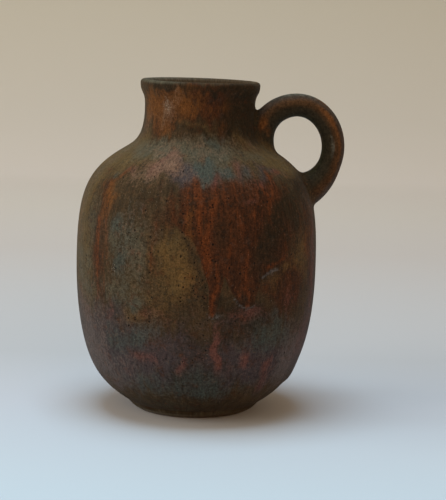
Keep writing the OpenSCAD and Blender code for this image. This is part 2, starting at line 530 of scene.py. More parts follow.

# A pale sweep: level in front, curving up behind. Its colour goes from cool in front to warm behind, with
# painted light and shade: darker in a band behind the vase, lighter where the bend turns up.
studio = {
    "halfWidth": 3.5,
    "backDistance": 1.5,
    "bend": 0.8,
    "bendSteps": 24,
    "wallTop": 3.0,
    "paperRoughness": 0.9,
    "paperGloss": 0.2,
    # the paper's colour with its painted light and shade, at running distances in metres, from the front edge
    # up the wall
    "paper": ((-0.25, (0.52, 0.63, 0.76)), (0.00, (0.53, 0.56, 0.65)), (0.18, (0.48, 0.49, 0.54)),
              (0.45, (0.52, 0.51, 0.54)), (0.80, (0.57, 0.53, 0.53)), (1.20, (0.66, 0.62, 0.60)),
              (1.58, (0.73, 0.69, 0.68)), (1.95, (0.64, 0.61, 0.58)), (2.42, (0.58, 0.55, 0.49))),
    "paperSpan": (-0.4, 3.0),   # where the colour's run starts, and its length
    "lookAt": (0, 0, 0.12),     # what the lamps turn to
    "lamps": {                  # place, size, power, colour
        "topLight": ((-0.14, -0.04, 2.0), (1.1, 1.1), 30.0, (0.63, 0.88, 1.0)),
        "leftLight": ((-2.25, -0.55, 0.9), (2.4, 1.8), 37.5, (0.98, 0.93, 0.80)),
        "frontLight": ((0.75, -2.15, 0.6), (1.2, 0.9), 12.2, (1.0, 0.57, 0.26)),
    },
    "airColour": (1.0, 0.74, 0.47),
    "airStrength": 0.42,
    "farColour": (0.60, 0.58, 0.55),     # what the camera sees beyond the paper
}


# Sweep: a level line, a quarter circle and an upright line, drawn out sideways
def paleSweep():
    s = studio
    back, bend = s["backDistance"], s["bend"]
    bendLine = circleArc([back, bend], bend, -90, 0, s["bendSteps"])
    profile = np.concatenate([[[-s["halfWidth"], 0.0]], bendLine, [[back + bend, s["wallTop"]]]])
    count = len(profile)
    points = np.concatenate([np.column_stack([np.full(count, side * s["halfWidth"]), profile])
                             for side in (-1, 1)])
    i = np.arange(count - 1)
    faces = np.stack([i, i + count, i + count + 1, i + 1], 1)
    sweep = meshObject("paleSweep", points, faces.tolist())
    sweep.data.shade_smooth()
    return sweep


floor = paleSweep()

world = bpy.data.worlds.new("studioAir")
bpy.context.scene.world = world
world.use_nodes = True
air = world.node_tree
air.nodes["Background"].inputs["Color"].default_value = (*studio["airColour"], 1)
air.nodes["Background"].inputs["Strength"].default_value = studio["airStrength"]
seen = air.nodes.new("ShaderNodeBackground")
seen.inputs["Color"].default_value = (*studio["farColour"], 1)
path = air.nodes.new("ShaderNodeLightPath")
either = air.nodes.new("ShaderNodeMixShader")
air.links.new(path.outputs["Is Camera Ray"], either.inputs[0])
air.links.new(air.nodes["Background"].outputs[0], either.inputs[1])
air.links.new(seen.outputs[0], either.inputs[2])
air.links.new(either.outputs[0], air.nodes["World Output"].inputs["Surface"])


# A soft rectangular lamp that looks at the middle of the vase
def softLamp(name, place, size, power, colour):
    lamp = bpy.data.lights.new(name, "AREA")
    lamp.shape = "RECTANGLE"
    lamp.size, lamp.size_y = size
    lamp.energy = power
    lamp.color = colour
    thing = bpy.data.objects.new(name, lamp)
    bpy.context.scene.collection.objects.link(thing)
    thing.location = place
    thing.rotation_euler = (Vector(studio["lookAt"]) - Vector(place)).to_track_quat("-Z", "Y").to_euler()
    thing.visible_camera = False


for lampName, (place, size, power, colour) in studio["lamps"].items():
    softLamp(lampName, place, size, power, colour)
bpy.context.scene.view_settings.view_transform = "Standard"
print("studio:", len(studio["lamps"]), "lamps")


# Small helpers for shader nodes. A socket, a number or a colour goes in, and a socket comes out.
# A node's inputs are given by name, or by number as i0, i1 and so on.
class Nodes:
    def __init__(self, material):
        material.use_nodes = True
        self.tree = material.node_tree
        self.shader = self.tree.nodes["Principled BSDF"]

    def put(self, socket, value):
        if isinstance(value, bpy.types.NodeSocket):
            self.tree.links.new(value, socket)
        elif isinstance(value, (tuple, list)) and len(value) == 3 and socket.type == "RGBA":
            socket.default_value = (*value, 1)
        else:
            socket.default_value = value

    def node(self, kind, output=0, settings=None, **inputs):
        made = self.tree.nodes.new("ShaderNode" + kind)
        for key, value in (settings or {}).items():
            setattr(made, key, value)
        for key, value in inputs.items():
            self.put(made.inputs[int(key[1:]) if key[1:].isdigit() else key], value)
        return made.outputs[output]

    def math(self, operation, a, b, c=0.0):
        return self.node("Math", 0, {"operation": operation}, i0=a, i1=b, i2=c)

    # Smooth step from start at low to most at high
    def step(self, value, low, high, most=1.0, start=0.0):
        return self.node("MapRange", 0, {"interpolation_type": "SMOOTHSTEP"},
                         i0=value, i1=low, i2=high, i3=start, i4=most)

    def mix(self, share, a, b):
        return self.node("Mix", 2, {"data_type": "RGBA"}, i0=share, i6=a, i7=b)

    def ramp(self, value, stops):
        made = self.tree.nodes.new("ShaderNodeValToRGB")
        band = made.color_ramp
        while len(band.elements) < len(stops):
            band.elements.new(0.5)
        for element, (position, colour) in zip(band.elements, stops):
            element.position, element.color = position, (*colour, 1)
        self.put(made.inputs[0], value)
        return made.outputs[0]

    def attribute(self, name, output=2):
        return self.node("Attribute", output, {"attribute_name": name})

    def noise(self, where, scale, detail, rough, distortion=0.0):
        return self.node("TexNoise", 0, None, Vector=where, Scale=scale, Detail=detail,
                         Roughness=rough, Distortion=distortion)

    def scaled(self, where, x, y, z):
        return self.node("VectorMath", 0, {"operation": "MULTIPLY"}, i0=where, i1=(x, y, z))


sweepPaint = bpy.data.materials.new("palePaper")
n = Nodes(sweepPaint)
depth = n.node("SeparateXYZ", 1, None, Vector=n.node("TexCoord", 3))
height = n.node("SeparateXYZ", 2, None, Vector=n.node("TexCoord", 3))
runFrom, runLength = studio["paperSpan"]
run = n.math("DIVIDE", n.math("SUBTRACT", n.math("ADD", depth, height), runFrom), runLength)
paperLightAndShadeStops = [((at - runFrom) / runLength, colour) for at, colour in studio["paper"]]
n.put(n.shader.inputs["Base Color"], n.ramp(run, paperLightAndShadeStops))
n.shader.inputs["Roughness"].default_value = studio["paperRoughness"]
n.shader.inputs["Specular IOR Level"].default_value = studio["paperGloss"]
floor.data.materials.append(sweepPaint)

# Colours of the fired glazes in linear light. Some of them also carry painted highlights, reflections and
# shade where they are laid on, as noted there.
tones = {
    "umber": (0.052, 0.033, 0.017), "olive": (0.09, 0.058, 0.024), "mauve": (0.049, 0.038, 0.0405),
    "ash": (0.074, 0.069, 0.049), "rustDark": (0.033, 0.0148, 0.008), "rust": (0.064, 0.0225, 0.0096),
    "orange": (0.13, 0.0345, 0.0095), "ember": (0.128, 0.052, 0.015), "ochre": (0.112, 0.063, 0.022),
    "dark": (0.021, 0.0155, 0.009), "rose": (0.11, 0.045, 0.036), "blue": (0.045, 0.058, 0.053),
    "pale": (0.085, 0.083, 0.085), "hazeAndHighlight": (0.15, 0.098, 0.066), "violetAndReflection": (0.092, 0.075, 0.07),
    "fleckAndGlint": (0.24, 0.22, 0.19), "loopEmber": (0.115, 0.044, 0.014), "loopMauve": (0.06, 0.038, 0.031),
    "loopRust": (0.085, 0.034, 0.013), "loopPaleAndHighlight": (0.082, 0.078, 0.064),
    "inside": (0.1, 0.088, 0.068), "insideBrown": (0.06, 0.042, 0.026), "clay": (0.20, 0.115, 0.065),
    "pit": (0.006, 0.005, 0.004),
}

# The glazes, laid on in this order. Each has its tone, its cover (the share where it starts to
# hide what is under it, the share where it hides most, and that most), the noises that roughen the share
# with their weights, and where it lies. A patch is (angle from the front towards the handle in degrees,
# height in mm, half width in degrees, half height in mm, strength), listed from the lip down.
# A run is (half width in mm, strength, a row of angles and heights).
glazes = {
    # dull green-brown on the shoulder and the flanks
    "olive": {
        "tone": "olive", "cover": (0.12, 0.95, 0.90),
        "rough": {"cloud": 1.2, "streak": 0.5, "speck": 0.6},
        "patches": (
            (-75, 240, 14, 12, 0.5), (-2, 217, 20, 5, 0.6), (48, 206, 12, 5, 0.4), (-52, 206, 14, 9, 0.4),
            (52, 205, 9, 5, 0.9), (-64, 194, 26, 14, 0.9), (66, 194, 26, 12, 1.0), (180, 194, 70, 12, 0.9),
            (0, 192, 180, 9, 0.55), (-72, 150, 16, 50, 1.0), (150, 150, 34, 40, 0.9),
            (-12, 137, 6.5, 8, 0.9), (64, 134, 5, 18, 0.7), (-140, 120, 30, 60, 0.9),
            (58, 118, 9, 20, 0.6), (-10, 114, 9, 24, 0.9), (-33, 112, 9, 34, 0.45), (-20, 112, 5, 24, 0.5),
            (104, 110, 20, 40, 0.6), (41, 108, 7, 8, 0.7), (-64, 105, 9, 30, 0.6)),
    },
    # grey-violet round the lower body and under the shoulder
    "mauve": {
        "tone": "mauve", "cover": (0.20, 0.90, 0.95),
        "rough": {"drift": 0.9, "streak": 0.35, "speck": 0.6},
        "patches": (
            (2, 206, 60, 6, 0.25), (-6, 187, 9, 8, 0.9), (44, 187, 16, 5, 0.5), (4, 184, 60, 8, 0.5),
            (-170, 184, 20, 8, 0.6), (-28, 164, 9, 8, 0.4), (74, 100, 11, 56, 0.7), (24, 84, 20, 12, 0.6),
            (-50, 66, 30, 34, 0.8), (0, 48, 180, 28, 0.9)),
    },
    # pale grey-green in a ring under the neck and in clouds at the left
    "ash": {
        "tone": "ash", "cover": (0.15, 1.00, 0.90), "rough": {"drift": 0.8, "speck": 0.9},
        "patches": (
            (16, 209, 16, 5, 0.8), (-20, 201, 26, 8, 1.0), (14, 200, 20, 8, 0.9), (-48, 200, 14, 9, 0.8),
            (150, 200, 40, 8, 0.8), (-120, 200, 40, 8, 0.8), (44, 197, 16, 7, 0.5),
            (-72, 190, 10, 50, 0.4), (-58, 150, 8, 20, 0.3), (-50, 148, 9, 22, 0.35),
            (-40, 138, 6, 14, 0.7), (-26, 132, 8, 26, 0.75), (-72, 116, 9, 34, 0.5),
            (-62, 108, 9, 30, 0.5), (-40, 104, 8, 11, 0.5), (-36, 100, 10, 12, 0.4), (-28, 93, 6, 7, 0.8),
            (-50, 90, 8, 24, 0.45), (-66, 84, 8, 26, 0.4), (-22, 80, 10, 8, 0.5), (-20, 22, 30, 9, 0.3),
            (-16, 12, 34, 5, 0.5), (0, 3, 180, 5, 0.6)),
    },
    # the deep red-brown of the neck and the flanks; its tone is a ramp from dark to orange
    "rust": {
        "cover": (0.12, 0.80, 0.90), "rough": {"streak": 0.6, "cloud": 0.7},
        "patches": (
            (2, 248, 54, 3.5, 0.8), (-4, 247, 14, 4, 0.9), (-12, 236, 26, 14, 1.0), (18, 236, 18, 12, 0.9),
            (120, 236, 40, 12, 0.8), (32, 232, 12, 9, 0.8), (-150, 230, 40, 16, 0.9),
            (-50, 228, 26, 14, 0.9), (28, 226, 14, 12, 0.6), (-36, 215, 14, 8, 0.7), (24, 214, 6, 7, 0.7),
            (40, 182, 14, 5, 0.5), (-50, 170, 6, 8, 0.7), (-108, 160, 12, 34, 0.6), (-14, 158, 6, 13, 0.6),
            (65, 150, 7, 30, 0.7), (-50, 140, 4, 46, 0.35), (-20, 130, 3, 26, 0.5), (-51, 122, 5, 50, 0.5),
            (72, 112, 8, 46, 0.5), (50, 108, 9, 15, 1.0), (37, 105, 7, 10, 0.5), (46, 96, 9, 18, 0.8),
            (22, 88, 14, 8, 0.3), (-20, 84, 12, 12, 0.5), (20, 76, 16, 12, 0.15)),
    },
    # the rust that ran down the body: its lower edge, and how much of it there is, by angle
    "flood": {
        "cover": (0.30, 0.75, 1.00), "rough": {"streak": 1.0, "cloud": 0.5},
        "edge": (
            (-180, 124), (-165, 104), (-152, 98), (-146, 112), (-130, 130), (-112, 118), (-98, 98),
            (-92, 116), (-70, 150), (-40, 170), (-16, 165), (-8, 150), (-2, 141), (1.5, 131), (3.5, 122),
            (5.6, 112), (7, 100), (7.8, 89), (9.4, 85), (11, 87), (12.2, 104), (13, 116), (15, 110),
            (17, 104), (20, 97), (23, 93), (26, 92), (29, 95), (31, 107), (34, 115), (38, 119), (44, 120),
            (50, 123), (54, 131), (60, 150), (90, 165), (118, 134), (124, 112), (129, 104), (134, 114),
            (155, 138), (170, 120), (180, 124)),
        "amount": (
            (-180, 0.9), (-140, 0.8), (-110, 0.4), (-95, 0.8), (-80, 0.0), (-18, 0.0), (-1, 1.0),
            (28, 1.0), (44, 0.75), (62, 0.1), (90, 0.0), (112, 0.2), (126, 0.9), (180, 0.9)),
        "top": 183.0, "topFade": (-10.0, 9.0), "topWander": (60, 9, 9, 10),
        "edgeFade": (-0.12, 0.22), "edgeStreaks": 0.6,      # in cm
    },
    # bright orange-brown where the rust is thin
    "ember": {
        "tone": "ember", "cover": (0.10, 1.00, 0.85),
        "rough": {"mottle": 0.9, "cloud": 0.6, "fibre": 0.4},
        "patches": (
            (-8, 248, 12, 3, 0.6), (-12, 240, 8, 5, 0.4), (-14, 240, 6, 5, 0.6), (3, 240, 7, 7, 0.4),
            (-42, 236, 14, 9, 0.6), (32, 236, 9, 7, 0.3), (-140, 236, 26, 9, 0.8), (-24, 234, 8, 6, 0.5),
            (-13, 234, 10, 12, 1.0), (140, 234, 20, 9, 0.7), (28, 233, 9, 6, 0.6), (-24, 232, 8, 10, 0.8),
            (12, 232, 4, 7, 0.35), (33, 230, 7, 6, 0.4), (-3, 230, 5, 6, 0.7), (-58, 230, 17, 12, 1.1),
            (30, 229, 6, 4, 0.5), (-50, 226, 8, 8, 0.5), (-40, 225, 12, 7, 0.8), (-34, 217, 14, 6, 0.45),
            (24, 215, 4.5, 6, 0.55), (-32, 211, 8, 5, 0.6), (-47, 172, 3.5, 9, 0.6),
            (-49, 171, 3.5, 7, 0.5), (-50, 160, 4, 14, 0.4), (-2, 152, 2.2, 34, 0.5),
            (62, 142, 9, 24, 0.45)),
    },
    # yellow-brown islands and streaks
    "ochre": {
        "tone": "ochre", "cover": (0.15, 1.00, 0.80),
        "rough": {"drift": 0.7, "streak": 0.4, "speck": 0.6},
        "patches": (
            (-14, 144, 2.6, 16, 0.6), (-125, 135, 9, 20, 0.7), (-21, 130, 2.5, 20, 0.5),
            (60, 128, 4, 6, 0.5), (-14, 124, 2.4, 14, 0.5), (-8, 124, 6, 12, 0.35), (54, 120, 5, 10, 0.4),
            (60, 116, 8, 10, 0.4), (47, 116, 4, 6, 0.7), (-5, 114, 6, 11, 0.85), (40, 105, 6, 9, 0.5),
            (165, 105, 12, 26, 0.9), (-2, 99, 4, 9, 0.4), (-10, 96, 6, 9, 0.3), (-15, 90, 4, 8, 0.4),
            (-24, 86, 8, 8, 0.45), (-30, 84, 6, 8, 0.5)),
    },
    # thick, nearly black glaze; its band round the foot, under the belly, is painted shade as well
    "dark": {
        "tone": "dark", "cover": (0.20, 0.90, 0.88),
        "rough": {"streak": 0.5, "mottle": 0.8, "speck": 0.3},
        "patches": (
            (10, 248, 50, 3, 0.45), (-20, 248, 7, 4, 0.6), (-20, 247, 6, 6, 0.9), (14, 247, 24, 3.5, 0.7),
            (-24, 246, 8, 3, 0.7), (-40, 246, 22, 3.5, 0.8), (30, 246, 30, 3, 0.5), (-34, 245, 20, 4, 0.8),
            (46, 244, 14, 6, 0.4), (60, 240, 10, 8, 0.3), (56, 238, 12, 8, 0.4), (38, 236, 20, 16, 0.7),
            (64, 232, 22, 24, 0.95), (53, 228, 12, 9, 0.4), (38, 226, 18, 16, 0.45),
            (50, 226, 12, 16, 0.6), (4, 223, 14, 4, 0.3), (-19, 223, 5, 3.5, 0.5), (3, 223, 4, 3, 0.4),
            (30, 222, 9, 5, 0.5), (22, 222, 6, 5, 0.6), (96, 222, 36, 28, 1.0), (38, 214, 13, 5, 0.45),
            (2, 214, 20, 5, 0.8), (-14, 213, 10, 4, 0.4), (34, 212, 12, 6, 0.8), (-30, 208, 14, 4, 0.3),
            (84, 176, 18, 12, 0.8), (-11, 175, 9, 4, 0.4), (146, 172, 18, 9, 0.7), (-118, 172, 20, 9, 0.7),
            (-25, 171, 17, 7, 0.55), (62, 168, 10, 14, 0.5), (68, 166, 6, 16, 0.5), (46, 164, 8, 11, 0.9),
            (56, 152, 7, 15, 0.8), (14, 148, 5, 16, 0.35), (16, 146, 14, 20, 0.25), (41, 145, 9, 18, 1.0),
            (12, 142, 5, 8, 0.2), (2, 136, 3, 14, 0.2), (-9, 135, 6, 6, 0.25), (33, 130, 6, 14, 0.8),
            (28, 126, 14, 16, 0.25), (38, 122, 6, 5, 0.5), (40, 118, 6, 10, 0.3), (26, 116, 6, 8, 0.35),
            (30, 112, 3, 6, 0.6), (-8, 100, 6, 10, 0.25), (14, 96, 4, 8, 0.5), (24, 94, 12, 14, 0.45),
            (14, 88, 6, 12, 0.3), (34, 86, 12, 10, 0.3), (20, 86, 16, 10, 0.25), (28, 78, 16, 14, 0.4),
            (32, 74, 11, 12, 0.4), (2, 62, 12, 12, 0.4), (6, 48, 26, 26, 0.45), (0, 38, 22, 9, 0.5),
            (-8, 34, 6, 12, 0.3), (6, 28, 8, 5, 0.3), (8, 28, 30, 7, 0.35), (6, 24, 30, 7, 0.35),
            (-64, 13, 12, 5, 0.6), (64, 13, 12, 6, 0.6), (0, 10, 180, 9, 0.6)),
    },
    # dusty pink streaks; the pink spot on the shoulder at the left is a painted highlight as well
    "rose": {
        "tone": "rose", "cover": (0.15, 0.90, 0.85), "rough": {"streak": 0.5, "speck": 0.8},
        "patches": (
            (-23, 189, 12, 8, 1.1), (24, 189, 5, 6, 0.6), (160, 187, 14, 6, 0.7), (-18, 186, 5, 5, 0.8),
            (55, 186, 10, 4, 0.6), (10, 183, 4, 5, 0.7), (-42, 183, 5, 5, 0.5), (34, 181, 5, 5, 0.6),
            (26, 173, 4, 5, 0.5), (-74, 150, 6, 30, 0.3), (-29, 128, 1.8, 9, 0.45), (74, 120, 6, 60, 0.6),
            (48, 92, 6, 12, 0.4), (-16, 88, 7, 6, 0.25), (-21, 87, 6, 8, 0.25), (26, 84, 12, 7, 0.6),
            (-43, 84, 2.4, 22, 0.5), (-66, 80, 7, 22, 0.5), (-50, 62, 4, 28, 0.4), (12, 60, 2.8, 20, 1.3),
            (66, 60, 12, 24, 0.5), (120, 60, 4, 20, 0.7), (-130, 58, 5, 16, 0.7), (4, 55, 4, 6, 0.4),
            (-28, 52, 5, 8, 0.5), (28, 50, 3.5, 8, 0.9), (-22, 50, 8, 8, 0.5), (-62, 48, 8, 10, 0.3),
            (-5, 45, 3, 9, 0.8), (40, 45, 5, 12, 0.6), (19, 44, 4, 6, 0.4), (-36, 40, 5, 7, 0.4),
            (42, 36, 4, 14, 0.5)),
    },
    # blue-grey clouds; the spot on the front of the shoulder is a painted reflection of the light above
    "blue": {
        "tone": "blue", "cover": (0.20, 0.95, 0.80),
        "rough": {"speck": 1.2, "streak": 0.7, "cloud": 0.6},
        "patches": (
            (14, 209, 16, 5, 0.7), (3, 191, 8, 8, 1.2), (2, 190, 5, 6, 1.0), (0, 190, 60, 7, 0.25),
            (16, 187, 4, 6, 0.9), (28, 184, 3, 5, 0.5), (130, 184, 16, 9, 0.9), (-50, 182, 4, 5, 0.6),
            (-160, 182, 14, 9, 0.8), (-39, 150, 5, 11, 0.7), (-16, 143, 5, 6, 0.4),
            (-32, 132, 11, 38, 0.45), (-37, 121, 5, 9, 0.7), (40, 112, 6, 7, 0.45), (-28, 93, 6, 7, 0.5),
            (-40, 92, 7, 10, 0.4), (12, 86, 4, 6, 0.5), (40, 84, 3, 12, 0.25), (38, 76, 18, 12, 0.5),
            (-24, 70, 14, 11, 0.55), (175, 70, 24, 14, 0.7), (-100, 70, 20, 16, 0.7), (-44, 68, 8, 9, 0.5),
            (40, 68, 7, 10, 0.6), (50, 66, 11, 12, 0.5), (-38, 62, 12, 14, 0.55), (30, 62, 8, 10, 0.6),
            (-6, 44, 50, 14, 0.3), (0, 36, 18, 10, 0.25), (6, 32, 18, 8, 0.25), (-28, 30, 20, 10, 0.5),
            (4, 26, 44, 10, 0.45)),
    },
    # orange runs in the rust
    "drips": {
        "tone": "orange", "cover": (0.10, 1.05, 0.66),
        "rough": {"streak": 0.8, "fibre": 0.7, "speck": 0.4, "drift": 0.9},
        "runs": (
            (3.4, 0.85, ((-0.5, 182), (0.5, 174), (2.6, 166), (2.2, 152), (3.2, 141), (5, 130), (6, 118))),
            (3, 0.75, ((10, 176), (8.6, 163), (7.2, 150), (6, 138), (7, 126))),
            (2, 0.45, ((19, 183), (21, 172), (19.5, 160), (21.5, 150), (24, 142))),
            (2.4, 0.55, ((24, 150), (25.5, 132), (23.5, 119), (24, 107), (26.5, 98), (25.5, 94))),
            (2, 0.6, ((34, 185), (34.5, 177), (38.5, 169), (37, 154))),
            (1.8, 0.5, ((44, 183), (50, 185), (56, 186))), (1.2, 0.7, ((17.5, 142), (16, 120))),
            (2, 0.8, ((10.5, 124), (10, 106), (8.4, 97), (8.8, 86))),
            (1.5, 0.6, ((15.5, 114), (19, 107), (22, 99))),
            (1.6, 0.6, ((34, 121), (41, 123), (47, 127), (47, 137))),
            (1.8, 0.5, ((29, 170), (29, 150), (27.5, 138))), (1.3, 0.6, ((42, 177), (40, 166))),
            (1.4, 0.5, ((13, 182), (14, 170), (12.5, 158), (13, 146))),
            (1.8, 0.8, ((-51.5, 150), (-51, 130), (-51.5, 108))),
            (1.6, 0.5, ((-47, 160), (-46.4, 138), (-47, 116), (-46, 96))),
            (2.2, 0.45, ((-52, 150), (-51.5, 120), (-52, 84))),
            (2.4, 0.55, ((-44, 186), (-49, 176), (-48, 165), (-46, 155), (-45, 140), (-44, 124))),
            (1.4, 0.45, ((-4, 178), (-3.4, 164), (-4, 152))),
            (1.4, 0.45, ((5, 180), (4.4, 168), (5, 158))),
            (1.4, 0.45, ((16, 160), (16.6, 146), (16, 128))),
            (1.4, 0.4, ((32, 176), (32.4, 160), (31.6, 146))),
            (1.4, 0.4, ((58, 166), (58.6, 152), (58, 140))), (1.3, 0.35, ((-26, 168), (-25.6, 154))),
            (1.2, 0.55, ((-14, 170), (-14, 148))), (1.0, 0.4, ((-20, 154), (-20, 116))),
            (1.8, 0.8, ((128, 180), (130, 160), (127, 140), (129, 108))),
            (1.8, 0.8, ((-150, 178), (-148, 150), (-151, 116))),
            (1.5, 0.7, ((-95, 176), (-93, 150), (-96, 114))),
            (1.6, 0.8, ((175, 182), (172, 150), (174, 124)))),
    },
    # dark lines where two glazes pushed apart
    "seams": {
        "tone": "dark", "cover": (0.25, 0.90, 0.80),
        "rough": {"fibre": 1.0, "speck": 0.6},
        "runs": (
            (1.2, 0.8, ((-5, 142), (-1, 129), (1.5, 120), (4, 110), (6, 99), (7, 90))),
            (1.0, 0.9, ((12.2, 118), (13, 106), (12.5, 93))), (1.1, 0.6, ((4, 158), (3.6, 148), (5, 138))),
            (1.0, 0.5, ((9.5, 156), (8.8, 146))), (1.3, 0.7, ((28.5, 100), (31, 110), (33.5, 116))),
            (1.4, 0.4, ((38, 121), (46, 122))), (1.0, 0.5, ((14, 112), (18, 103), (21, 97))),
            (1.0, 0.4, ((-46, 166), (-46, 140)))),
    },
    # pale edges under the tips of the drips
    "crescents": {
        "tone": "pale", "cover": (0.30, 1.00, 0.70), "rough": {"speck": 1.2, "drift": 0.6},
        "runs": (
            (1.1, 0.8, ((6.8, 88), (8.6, 83.5), (11, 84.5), (12.6, 88))),
            (1.2, 0.9, ((18, 100), (21.5, 94.5), (25.5, 91), (29, 93))),
            (1.6, 0.9, ((33, 114), (37, 117.5), (41, 118.5))), (0.8, 0.5, ((41, 118.5), (48, 121))),
            (1.2, 0.8, ((127, 106), (129, 102), (132, 106))), (1.2, 0.7, ((-152, 98), (-149, 101)))),
    },
    # thin milky film, with painted highlight and sheen where it is brightest, on the shoulder at the left
    "hazeAndHighlight": {
        "tone": "hazeAndHighlight", "cover": (0.25, 1.05, 0.72), "rough": {"speck": 1.2, "mottle": 0.8},
        "patches": (
            (-20, 240, 6, 5, 0.4), (-22, 234, 8, 8, 0.35), (150, 230, 12, 8, 0.5), (-33, 227, 11, 11, 0.6),
            (-64, 222, 10, 18, 0.3), (-38, 222, 16, 10, 0.25), (-36, 222, 5, 6, 0.4),
            (-60, 218, 14, 8, 0.25), (54, 209, 9, 6, 0.6), (0, 204, 70, 4, 0.3), (8, 201, 26, 5, 0.2),
            (-68, 200, 10, 40, 0.2), (8, 200, 50, 5, 0.3), (-30, 198, 14, 6, 0.5), (-22, 189, 13, 7, 0.85),
            (15, 189, 3.5, 5, 0.5), (-18.5, 186, 4, 3.5, 1.0), (-19, 186, 5, 4, 0.5),
            (-18, 186, 4, 4, 0.8), (-6, 186, 9, 6, 0.4), (-28, 182, 15, 6, 0.5), (-36, 180, 7, 6, 0.3),
            (-74, 170, 10, 60, 0.35), (-15.5, 164, 3, 22, 0.4), (-34, 156, 7, 12, 0.25),
            (57, 150, 5, 12, 0.3), (-34, 138, 8, 26, 0.22), (-30, 126, 9, 22, 0.2), (-26, 122, 3, 12, 0.3),
            (-17, 86, 7, 7, 0.5), (-35, 78, 8, 12, 0.35)),
    },
    # pale violet low on the flanks, partly a painted reflection of the pale paper where the flanks turn away
    # at the sides
    "violetAndReflection": {
        "tone": "violetAndReflection", "cover": (0.10, 1.05, 0.80),
        "rough": {"speck": 0.9, "streak": 0.5, "drift": 0.5},
        "patches": (
            (-50, 70, 4, 22, 0.5), (60, 64, 5, 10, 0.5), (-70, 60, 11, 34, 0.8), (70, 58, 6, 24, 0.4),
            (-60, 54, 12, 36, 0.8), (4, 52, 5, 10, 0.3), (150, 50, 40, 28, 0.5), (-140, 50, 40, 28, 0.5),
            (-63, 48, 6, 16, 0.8), (58, 46, 9, 30, 1.0), (-34, 44, 8, 16, 0.35), (-50, 36, 10, 16, 0.5),
            (54, 34, 9, 14, 0.4), (-44, 34, 12, 14, 0.4)),
    },
    # nearly white specks, and a painted glint on the neck at the left
    "fleckAndGlint": {
        "tone": "fleckAndGlint", "cover": (0.95, 1.30, 0.80), "rough": {"grain": 5.0},
        "patches": (
            (-20, 240, 4, 3, 0.35), (-34, 229, 8, 8, 0.9), (24, 200, 20, 5, 0.25), (-38, 200, 12, 5, 0.25),
            (3, 157, 2, 4, 0.3), (-33, 142, 5, 8, 0.3), (-40, 119, 2.5, 5, 0.8)),
    },
    # grey edge of the lip, partly a painted reflection of the light above
    "rim": {
        "tone": "ash", "cover": (0.15, 0.85, 0.80), "rough": {"speck": 0.8},
        "patches": (
            (-46, 250, 34, 2.4, 1.0), (-140, 250, 60, 2.4, 0.9), (150, 250, 30, 2.4, 0.5)),
    },
}

# The glazes of the loop: a patch is (share of its length from the upper root, turn from -1 at the finger
# hole to 1 outside, half length, half turn, strength)
loopGlazes = {
    "loopEmber": {
        "tone": "loopEmber", "cover": (0.15, 0.90, 0.80), "rough": {"cloud": 0.6, "speck": 0.6},
        "patches": (
            (0.2, 0.2, 0.04, 0.4, 1.0), (0.17, -0.5, 0.05, 0.4, 0.5), (0.56, 0.46, 0.07, 0.22, 1.0),
            (0.7, 0.52, 0.1, 0.18, 0.6), (0.84, 0.5, 0.06, 0.22, 0.4), (0.44, 0.62, 0.06, 0.14, 0.3)),
    },
    "loopMauve": {
        "tone": "loopMauve", "cover": (0.20, 0.90, 0.80), "rough": {"cloud": 0.5, "speck": 0.5},
        "patches": (
            (0.7, 0.92, 0.16, 0.14, 0.7), (0.92, 0.85, 0.08, 0.3, 0.5)),
    },
    "loopRust": {
        "tone": "loopRust", "cover": (0.20, 0.90, 0.85), "rough": {"cloud": 0.9, "fibre": 0.8},
        "patches": (
            (0.5, 1.0, 0.05, 0.2, 0.8), (0.66, 1.05, 0.06, 0.12, 0.9), (0.82, 1.0, 0.05, 0.2, 0.8),
            (0.27, 1.0, 0.04, 0.3, 0.6), (0.62, -1.0, 0.12, 0.2, 0.6), (0.35, -1.0, 0.08, 0.2, 0.4)),
    },
    # pale grey patches, and a painted highlight on the outer edge of the crown
    "loopPaleAndHighlight": {
        "tone": "loopPaleAndHighlight", "cover": (0.25, 0.95, 0.80), "rough": {"speck": 1.2, "fibre": 0.8},
        "patches": (
            (0.715, -0.05, 0.06, 0.18, 0.8), (0.66, -0.1, 0.03, 0.14, 0.6), (0.4, 0.97, 0.1, 0.16, 0.9)),
    },
}
# Tones round the loop, from the finger hole to the outside: the dark inner half is painted shade, and the
# paler outer edge a painted highlight
loopToneAndShadeStops = ((0.02, (0.032, 0.030, 0.017)), (0.14, (0.026, 0.022, 0.014)), (0.44, (0.026, 0.020, 0.012)),
             (0.60, (0.050, 0.026, 0.012)), (0.74, (0.062, 0.030, 0.013)),
             (0.86, (0.048, 0.030, 0.020)), (0.97, (0.046, 0.035, 0.027)))

# What lies under the glazes
ground = {
    "umberShadow": (0.36, 0.64, 0.40),      # the streaks of the umber that turn dark
    "rustStops": ((0.20, "dark"), (0.41, "rustDark"), (0.61, "rust"), (1.00, "orange")),
    "brownFrom": (-0.020, 0.045),           # the lining, from left to right across the mouth, in metres
    "brownMottle": 0.04,
    "clayUpTo": (0.0012, 0.0004),           # height in metres where the bare clay of the foot ends
}

# How far the glazes wander from where they were laid: a field's columns round the vase, its rows' height
# in mm, its seed, and the depth of the wandering in degrees or mm
wander = {
    "patchAngle": ((26, 21, 3, 5), (60, 9, 4, 4)),
    "patchHeight": ((26, 21, 5, 10), (90, 12, 6, 8)),
    "runAngle": ((40, 13, 7, 1.6),),
    "runHeight": ((80, 13, 8, 2),),
    "share": {"ash": 0.35, "rim": 0.0},     # of it, where it isn't all
}


